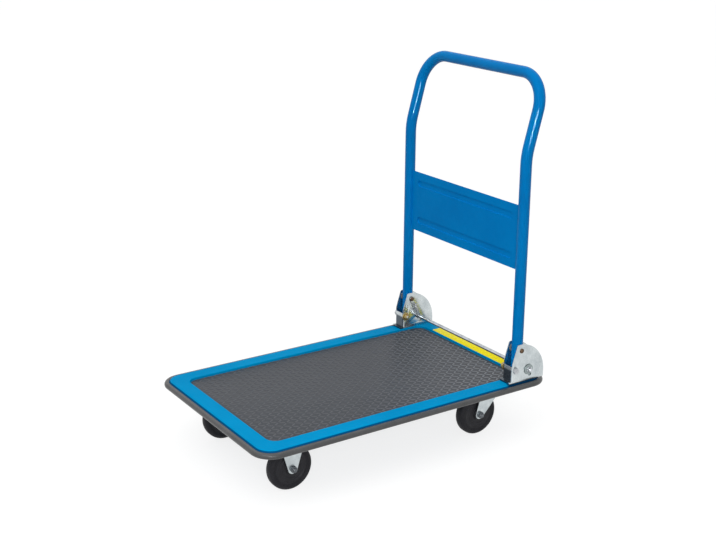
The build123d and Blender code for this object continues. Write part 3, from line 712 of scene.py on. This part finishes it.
# tack welds: rippled beads along the channel flanges and behind the handle panel
weld = {
    "length": 17.0, "width": 5.0, "height": 1.7, "ripple": 2.3, "rippleShare": 0.16,
    "channelY": (-150, -52, 52, 150), "ribShares": (0.08, 0.36, 0.64, 0.92),
    "panelBack": 1.2, "panelEnd": 12, "panelMiddle": 72,
}


def weldBead():
    bm = bmesh.new()
    bmesh.ops.create_uvsphere(bm, u_segments=18, v_segments=10, radius=1)
    bmesh.ops.subdivide_edges(bm, edges=bm.edges[:], cuts=1)
    bmesh.ops.scale(bm, vec=(weld["length"] / 2, weld["width"] / 2, weld["height"]), verts=bm.verts[:])
    for point in bm.verts:
        point.co.z *= 1 + weld["rippleShare"] * cos(point.co.x * 2 * pi / weld["ripple"])
    return bm


def makeWelds():
    beads = bmesh.new()
    spots = []
    quarter = Matrix.Rotation(pi / 2, 4, "Z")
    for node in ("front_cross_channel", "rear_cross_channel"):
        low, high = nodeBox(node)
        for x in (low.x, high.x):
            spots += [Matrix.Translation((x, y, high.z)) @ quarter for y in weld["channelY"]]
    for node in ("left_floor_rib", "right_floor_rib"):
        low, high = nodeBox(node)
        stops = [low.x + (high.x - low.x) * share for share in weld["ribShares"]]
        spots += [Matrix.Translation((x, y, high.z)) for y in (low.y, high.y) for x in stops]
    stamp(beads, weldBead(), *spots)
    publish(beads, "channelWelds", "chassis", "deck_paint", crease=60)
    low, high = nodeBox("handle_panel")
    pin = nodeBox("left_pivot_pin")
    back = (pin[0].x + pin[1].x) / 2 + weld["panelBack"]
    upright = Matrix.Rotation(pi / 2, 4, "Y")
    beads = bmesh.new()
    heights = (low.z + weld["panelEnd"], low.z + weld["panelMiddle"], high.z - weld["panelEnd"])
    spots = [Matrix.Translation((back, y, z)) @ upright for y in (low.y, high.y) for z in heights]
    stamp(beads, weldBead(), *spots)
    publish(beads, "panelWelds", "handle", "handle_paint", crease=60)
    print("welds")


# castors: tyre, hub, axle, top plate and its bolts
tyre = {
    "bore": 36.0, "radius": 49.85, "half": 12.5, "shoulder": 8.3, "side": 11.5,
    "ringAt": 38.6, "ringRise": 0.35, "ringFoot": 0.7, "ringTop": 0.3,
    "step": (40.3, 41.1), "stepRound": 0.4,
    "mouldLine": 0.15, "lineFoot": 0.5, "lineTop": 0.25, "steps": 96,
}
hub = {
    "rimOut": 36.0, "rimIn": 32.0, "rimHalf": 11.0, "rimRound": 0.4, "face": 10.0, "faceRound": 0.6,
    "ring": (22.0, 26.0), "ringRise": 0.8, "ringRound": 0.3,
    "boss": 13.0, "bossHalf": 14.5, "bossRound": 0.8, "draft": 1.0, "bore": 6.0, "steps": 72,
}
axle = {
    "radius": 4.0, "flats": 13.0, "head": 5.0, "length": 44.2, "reach": 17.5,
    "nut": 6.5, "collar": 1.5, "pitch": 1.25,
}
topPlate = {"edge": 0.5}
plateBolt = {
    "radius": 3.0, "flats": 10.0, "head": 4.0, "nut": 4.5, "pitch": 1.0, "spacing": (31.0, 24.0),
}


def mirroredWall(wall):
    return wall + [(p[0], -p[1]) + p[2:] for p in reversed(wall)]


def tyreShape():
    bore, half, side, radius = tyre["bore"], tyre["half"], tyre["side"], tyre["radius"]
    ringAt, top, soft = tyre["ringAt"], side + tyre["ringRise"], tyre["stepRound"]
    low, high = tyre["step"]
    wall = [(bore, side), (ringAt - tyre["ringFoot"], side), (ringAt - tyre["ringTop"], top)]
    wall += [(ringAt + tyre["ringTop"], top), (ringAt + tyre["ringFoot"], side)]
    wall += [(low, side, soft), (high, half, soft), (radius, half, tyre["shoulder"])]
    wall += [(radius, tyre["lineFoot"]), (radius + tyre["mouldLine"], tyre["lineTop"])]
    return turned(mirroredWall(wall), tyre["steps"])


def hubShape():
    low, high = hub["ring"]
    face, rise, draft = hub["face"], hub["ringRise"], hub["draft"]
    bossRound, ringRound = hub["bossRound"], hub["ringRound"]
    wall = [(hub["bore"], hub["bossHalf"]), (hub["boss"], hub["bossHalf"], bossRound)]
    wall += [(hub["boss"] + draft, face, bossRound), (low, face), (low + rise, face + rise, ringRound)]
    wall += [(high - rise, face + rise, ringRound), (high, face)]
    wall += [(hub["rimIn"] - draft, face, hub["faceRound"])]
    wall += [(hub["rimIn"], hub["rimHalf"], hub["rimRound"]), (hub["rimOut"], hub["rimHalf"])]
    return turned(mirroredWall(wall), hub["steps"])


def axleBolt(length):
    return hexBolt(axle["radius"], axle["flats"], axle["head"], length, axle["pitch"])


def axleNut():
    return hexNut(axle["radius"], axle["flats"], axle["nut"], axle["collar"])


def smallBolt(length):
    return hexBolt(plateBolt["radius"], plateBolt["flats"], plateBolt["head"], length, plateBolt["pitch"])


def smallNut():
    return hexNut(plateBolt["radius"], plateBolt["flats"], plateBolt["nut"])


def makeCastors():
    plateSpots = []
    frontNuts = bmesh.new()
    for corner in ("front_left", "front_right", "rear_left", "rear_right"):
        ahead, hand = corner.split("_")
        name = ahead + hand.title()
        low, high = nodeBox(corner + "_tyre")
        middle = (low + high) / 2
        side = -1 if hand == "left" else 1
        body = "chassis" if ahead == "front" else corner + "_swivel"
        flat = alongY(middle.x, middle.y, middle.z, side)
        for word, slot, shape in (("tyre", "tyre_rubber", tyreShape), ("hub", "hub_plastic", hubShape)):
            bm = bmesh.new()
            stamp(bm, shape(), flat)
            publish(bm, name + word.title(), corner + "_wheel", slot, f"{corner}_{word}")
        bm = bmesh.new()
        head = alongY(middle.x, middle.y - side * axle["reach"], middle.z, side)
        stamp(bm, axleBolt(axle["length"]), head)
        publish(bm, name + "AxleBolt", body, "bolt_zinc", corner + "_axle_bolt", finish=axleZinc)
        nuts = frontNuts if ahead == "front" else bmesh.new()
        stamp(nuts, axleNut(), alongY(middle.x, middle.y + side * axle["reach"], middle.z, side))
        if ahead == "rear":
            publish(nuts, name + "AxleNut", body, "bolt_zinc", corner + "_axle_nut", finish=axleZinc)
        low, high = nodeBox(corner + "_top_plate")
        middle = (low + high) / 2
        bm = roundedCopy(corner + "_top_plate", topPlate["edge"])
        publish(bm, name + "TopPlate", "chassis", "zinc_plate", corner + "_top_plate", crease=25)
        dx, dy = plateBolt["spacing"]
        plateSpots += [(middle.x + i * dx, middle.y + j * dy) for i in (-1, 1) for j in (-1, 1)]
    publish(frontNuts, "frontAxleNuts", "chassis", "bolt_zinc", "front_axle_nuts", finish=axleZinc)
    low, high = nodeBox("castor_bolts")
    seat = low.z + plateBolt["head"]
    bm = bmesh.new()
    stamp(bm, smallBolt(high.z - seat), *[Matrix.Translation((x, y, seat)) for x, y in plateSpots])
    publish(bm, "castorBolts", "chassis", "bolt_zinc", "castor_bolts")
    bm = bmesh.new()
    foot = nodeBox("castor_nuts")[0].z
    stamp(bm, smallNut(), *[Matrix.Translation((x, y, foot)) for x, y in plateSpots])
    publish(bm, "castorNuts", "chassis", "bolt_zinc", "castor_nuts")
    print("castors")


# hinge: brackets, pins, stop bolts
hinge = {
    "edge": 0.5, "tubeY": 206.0, "cheek": 16.5, "baseBolts": (-10.0, 49.0), "base": 142.0,
    "pinRadius": 4.0, "pinHead": 5.4, "pinRise": 3.0, "neck": 35.0, "pinSteps": 40,
    "headShares": ((0, 1), (0.34, 0.96), (0.66, 0.78), (0.88, 0.48), (1, 0.1), (1, 0)),
    "peened": ((1, 0), (1, 0.6), (0.85, 1.4), (0.5, 1.9), (0, 2)),
    "stopLength": 43.8, "stopWasher": (10.0, 1.6), "washerRound": (0.3, 0.5),
}


def pivotPin():
    rise, wide, neck = hinge["pinRise"], hinge["pinHead"], hinge["neck"]
    points = [(wide * across, -rise * up) for across, up in hinge["headShares"]]
    points += [(hinge["pinRadius"], 0), (hinge["pinRadius"], neck)]
    points += [(wide * across, neck + up) for across, up in hinge["peened"]]
    return turned(points, hinge["pinSteps"])


def stopWasher():
    wide, thick = hinge["stopWasher"]
    under, over = hinge["washerRound"]
    bore = axle["radius"]
    return turned([(bore, 0), (wide, 0, under), (wide, thick, over), (bore, thick)])


def makeHinge():
    pins = nodeBox("left_pivot_pin")
    pivot = (pins[0] + pins[1]) / 2
    stop = sum(nodeBox("stop_bolts"), Vector()) / 2
    stopBolts, stopNuts = bmesh.new(), bmesh.new()
    for hand, side in (("left", -1), ("right", 1)):
        node = hand + "_hinge_bracket"
        bm = roundedCopy(node, hinge["edge"])
        publish(bm, hand + "HingeBracket", "chassis", "zinc_plate", node, crease=25, finish=bracketZinc)
        outer = side * (hinge["tubeY"] + hinge["cheek"])
        inner = side * (hinge["tubeY"] - hinge["cheek"])
        bm = bmesh.new()
        stamp(bm, pivotPin(), alongY(pivot.x, outer, pivot.z, -side))
        publish(bm, hand + "PivotPin", "chassis", "pin_steel", hand + "_pivot_pin", crease=40)
        stamp(stopBolts, axleBolt(hinge["stopLength"]), alongY(stop.x, outer, stop.z, -side))
        stamp(stopNuts, stopWasher(), alongY(stop.x, inner, stop.z, -side))
        seat = inner - side * hinge["stopWasher"][1]
        stamp(stopNuts, axleNut(), alongY(stop.x, seat, stop.z, -side))
    publish(stopBolts, "stopBolts", "chassis", "bolt_zinc", "stop_bolts")
    publish(stopNuts, "stopNuts", "chassis", "yellow_zinc", "stop_nuts")
    spots = [(pivot.x + dx, side * hinge["tubeY"]) for side in (-1, 1) for dx in hinge["baseBolts"]]
    length = hinge["base"] - nodeBox("bracket_bolts")[0].z
    over = Matrix.Rotation(pi, 4, "X")
    bm = bmesh.new()
    stamp(bm, smallBolt(length), *[Matrix.Translation((x, y, hinge["base"])) @ over for x, y in spots])
    publish(bm, "bracketBolts", "chassis", "bolt_zinc", "bracket_bolts")
    bm = bmesh.new()
    foot = nodeBox("bracket_nuts")[0].z
    stamp(bm, smallNut(), *[Matrix.Translation((x, y, foot)) for x, y in spots])
    publish(bm, "bracketNuts", "chassis", "bolt_zinc", "bracket_nuts")
    print("hinge")


# release bar with its dished washers and push-on star caps
bar = {
    "radius": 4.5, "chamfer": 0.9, "steps": 40,
    "washer": 12.0, "washerThick": 1.2, "washerRound": (0.3, 0.5),
    "dish": 1.0, "dishShares": (0.62, 0.8), "dishSag": 0.9,
    "cap": 7.0, "capWall": 1.1, "capBrim": 0.9, "capCrown": 1.0, "capRound": (0.25, 0.4),
    "tongues": 8, "tongue": (2.6, 2.7, 0.5), "tonguePlace": (1.25, 0.65), "tongueEdge": 0.12,
    "tipTaper": 0.72, "tipLift": 1.6,
}


def barRod(half):
    radius, chamfer = bar["radius"], bar["chamfer"]
    return turned([(0, -half), (radius - chamfer, -half), (radius, chamfer - half),
                   (radius, half - chamfer), (radius - chamfer, half), (0, half)], bar["steps"])


def dishedWasher():
    wide, thick, dish = bar["washer"], bar["washerThick"], bar["dish"]
    near, far = [wide * share for share in bar["dishShares"]]
    sag = dish * bar["dishSag"]
    under, over = bar["washerRound"]
    return turned([(bar["radius"], dish), (near, sag), (far, 0), (wide, 0, under), (wide, thick, over),
                   (far, thick), (near, thick + sag), (bar["radius"], thick + dish)], bar["steps"])


def starCap():
    wide, brim, crown = bar["cap"], bar["capBrim"], bar["capCrown"]
    bore = bar["radius"] + bar["capWall"]
    under, over = bar["capRound"]
    bm = turned([(bore, 0), (wide, 0, under), (wide, brim, over), (wide - crown, crown), (bore, brim)])
    tongue = bmesh.new()
    bmesh.ops.create_cube(tongue, size=1)
    bmesh.ops.scale(tongue, vec=bar["tongue"], verts=tongue.verts[:])
    tip = [v for v in tongue.verts if v.co.x < 0]
    bmesh.ops.scale(tongue, vec=(1, bar["tipTaper"], 1), verts=tip)
    bmesh.ops.translate(tongue, vec=(0, 0, bar["tipLift"]), verts=tip)
    easeEdges(tongue, tongue.edges[:], bar["tongueEdge"])
    out, up = bar["tonguePlace"]
    bmesh.ops.translate(tongue, vec=(bar["radius"] + out, 0, up), verts=tongue.verts[:])
    turns = [Matrix.Rotation(2 * pi * n / bar["tongues"], 4, "Z") for n in range(bar["tongues"])]
    stamp(bm, tongue, *turns)
    return bm


def makeReleaseBar():
    low, high = nodeBox("release_bar")
    middle = (low + high) / 2
    bm = bmesh.new()
    stamp(bm, barRod(high.y), alongY(middle.x, 0, middle.z, 1))
    publish(bm, "releaseBar", "release_bar", "bar_steel", "release_bar")
    washers, caps = bmesh.new(), bmesh.new()
    end = nodeBox("release_bar_washers")[1].y
    start = end - bar["washerThick"] - bar["dish"]
    for side in (-1, 1):
        stamp(washers, dishedWasher(), alongY(middle.x, side * start, middle.z, side))
        stamp(caps, starCap(), alongY(middle.x, side * end, middle.z, side))
    publish(washers, "barWashers", "release_bar", "bar_steel", "release_bar_washers", finish=washerZinc)
    publish(caps, "barStarCaps", "release_bar", "bar_steel", "release_bar_caps")
    print("release bar")


# tension springs: eye round the pin, leg, turns, leg, eye round the bar
spring = {
    "wire": 0.6, "radius": 4.6, "turns": 9, "pitch": 2.7, "gap": 0.3, "cheekGap": 0.5,
    "sides": 12, "turnSteps": 28, "eyeSteps": 36, "bendSteps": 12,
}


def makeSprings():
    pins = nodeBox("left_pivot_pin")
    rods = nodeBox("release_bar")
    pin = (pins[0] + pins[1]) / 2
    rod = (rods[0] + rods[1]) / 2
    along = Vector((rod.x - pin.x, 0, rod.z - pin.z))
    span = along.length
    along.normalize()
    pinEye = hinge["pinRadius"] + spring["gap"] + spring["wire"]
    barEye = bar["radius"] + spring["gap"] + spring["wire"]
    length = spring["turns"] * spring["pitch"]
    begin = (span - length) / 2
    for hand, side in (("left", -1), ("right", 1)):
        across = Vector((0, side, 0))
        out = across.cross(along)
        eyeY = side * (hinge["tubeY"] - hinge["cheek"] - spring["cheekGap"] - spring["wire"])
        eye = Vector((pin.x, eyeY, pin.z))

        def place(a, n, c=0.0):
            return eye + along * a + out * n + across * c

        bm = bmesh.new()
        rim = startRing(bm, spring["wire"], spring["sides"], place(pinEye, 0), -out)
        rim = turnOn(bm, rim, place(0, 0), across, -270, spring["eyeSteps"])
        rim = runOn(bm, rim, along * (begin - pinEye))
        rim = turnOn(bm, rim, place(begin - pinEye, 0), across, -90, spring["bendSteps"])
        climb = along * (spring["pitch"] / spring["turnSteps"])
        rim = turnOn(bm, rim, place(begin, 0, -spring["radius"]), along, 360 * spring["turns"],
                     spring["turns"] * spring["turnSteps"], climb)
        rim = turnOn(bm, rim, place(begin + length + barEye, 0), across, 90, spring["bendSteps"])
        rim = runOn(bm, rim, along * (span - begin - length - barEye))
        turnOn(bm, rim, place(span, 0), across, 270, spring["eyeSteps"])
        closeUp(bm)
        piece = publish(bm, hand + "ReleaseSpring", None, "spring_steel", hand + "_release_spring",
                        crease=60)
        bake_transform(piece)
    print("release springs")


makeTreadMat()
makeBumper()
makeMarker()
makeWelds()
makeCastors()
makeHinge()
makeReleaseBar()
makeSprings()

# white surroundings, a key lamp above, a front lamp near the camera, and the handle tube's own gleam
studio = {
    "floorSize": 40.0, "floorColor": (0.28, 0.28, 0.28, 1.0), "floorRough": 0.9, "floorGlow": 0.8,
    "horizon": 0.0, "zenith": 1.1, "aim": (0.05, 0, 0.3),
    "keyPlace": (-1.6, -0.9, 2.4), "keySize": (1.8, 1.8), "keyPower": 16,
    "frontPlace": (-1.3, -2.1, 1.12), "frontSize": (1.0, 0.6), "frontPower": 22,
    "gleamPlace": (-1.3, -2.1, 1.12), "gleamSize": (1.0, 0.22), "gleamPower": 170,
}
# the camera that was fitted to the photo
photoView = {
    "position": (-1.3954, -2.1007, 1.2024), "azimuth": -33.717, "elevation": 17.900, "roll": 0.368,
    "focalPixels": 1223.55, "imageWidth": 716, "sensorWidth": 36.0, "farClip": 100,
}


def placeCamera():
    camera = bpy.data.cameras.new("photoCamera")
    camera.sensor_width = photoView["sensorWidth"]
    camera.lens = photoView["sensorWidth"] * photoView["focalPixels"] / photoView["imageWidth"]
    camera.clip_end = photoView["farClip"]
    az, el, roll = [radians(photoView[k]) for k in ("azimuth", "elevation", "roll")]
    back = Vector((sin(az) * cos(el), -cos(az) * cos(el), sin(el)))
    level = Vector((0, 0, 1)).cross(back).normalized()
    right = level * cos(roll) + back.cross(level) * sin(roll)
    up = back.cross(right)
    holder = bpy.data.objects.new("photoCamera", camera)
    bpy.context.scene.collection.objects.link(holder)
    turn = Matrix((right, up, back)).transposed().to_4x4()
    holder.matrix_world = Matrix.Translation(photoView["position"]) @ turn
    bpy.context.scene.camera = holder


def addLamp(name, place, size, power):
    lamp = bpy.data.lights.new(name, "AREA")
    lamp.shape = "RECTANGLE"
    lamp.size, lamp.size_y = size
    lamp.energy = power
    holder = bpy.data.objects.new(name, lamp)
    bpy.context.scene.collection.objects.link(holder)
    aim = Vector(studio["aim"]) - Vector(place)
    holder.location = place
    holder.rotation_euler = aim.to_track_quat("-Z", "Y").to_euler()
    return holder


def addGleam():
    # a long lamp that shows only as the gleam on the handle tube
    lamp = addLamp("gleamLamp", studio["gleamPlace"], studio["gleamSize"], studio["gleamPower"])
    lamp.visible_diffuse = False
    lit = bpy.data.collections.new("gleamOnHandle")
    lit.objects.link(frame["nodes"]["handle_tube"])
    lamp.light_linking.receiver_collection = lit


def seenDirectly(tree):
    # 1 for what the camera, a reflection or a clear piece sees, 0 for light that falls on the object
    path = tree.nodes.new("ShaderNodeLightPath")
    total = path.outputs["Is Camera Ray"]
    for ray in ("Is Glossy Ray", "Is Transmission Ray"):
        total = joined(tree, "MAXIMUM", total, path.outputs[ray])
    return total


def addFloor():
    bm = bmesh.new()
    bmesh.ops.create_grid(bm, x_segments=1, y_segments=1, size=studio["floorSize"] / 2)
    mesh = bpy.data.meshes.new("floor")
    bm.to_mesh(mesh)
    bm.free()
    floor = bpy.data.objects.new("floor", mesh)
    bpy.context.scene.collection.objects.link(floor)
    finish = bpy.data.materials.new("paleFloor")
    finish.use_nodes = True
    tree = finish.node_tree
    shader = tree.nodes["Principled BSDF"]
    shader.inputs["Base Color"].default_value = studio["floorColor"]
    shader.inputs["Roughness"].default_value = studio["floorRough"]
    shader.inputs["Specular IOR Level"].default_value = 0.0
    shader.inputs["Emission Color"].default_value = (1, 1, 1, 1)
    glow = ranged(tree, seenDirectly(tree), 0.0, studio["floorGlow"], 0.0, 1.0)
    tree.links.new(glow, shader.inputs["Emission Strength"])
    mesh.materials.append(finish)


def addSky():
    world = bpy.data.worlds.new("studioSky")
    bpy.context.scene.world = world
    world.use_nodes = True
    tree = world.node_tree
    way = spread(tree, tree.nodes.new("ShaderNodeTexCoord").outputs["Generated"])
    dome = ranged(tree, way["Z"], studio["horizon"], studio["zenith"], 0.0, 1.0)
    strength = tree.nodes.new("ShaderNodeMix")
    tree.links.new(seenDirectly(tree), strength.inputs["Factor"])
    tree.links.new(dome, strength.inputs["A"])
    strength.inputs["B"].default_value = 1.0
    tree.links.new(strength.outputs["Result"], tree.nodes["Background"].inputs["Strength"])
    tree.nodes["Background"].inputs["Color"].default_value = (1, 1, 1, 1)


placeCamera()
addLamp("keyLamp", studio["keyPlace"], studio["keySize"], studio["keyPower"])
addLamp("frontLamp", studio["frontPlace"], studio["frontSize"], studio["frontPower"])
addGleam()
addFloor()
addSky()
bpy.context.scene.view_settings.view_transform = "Standard"
print("studio ready")
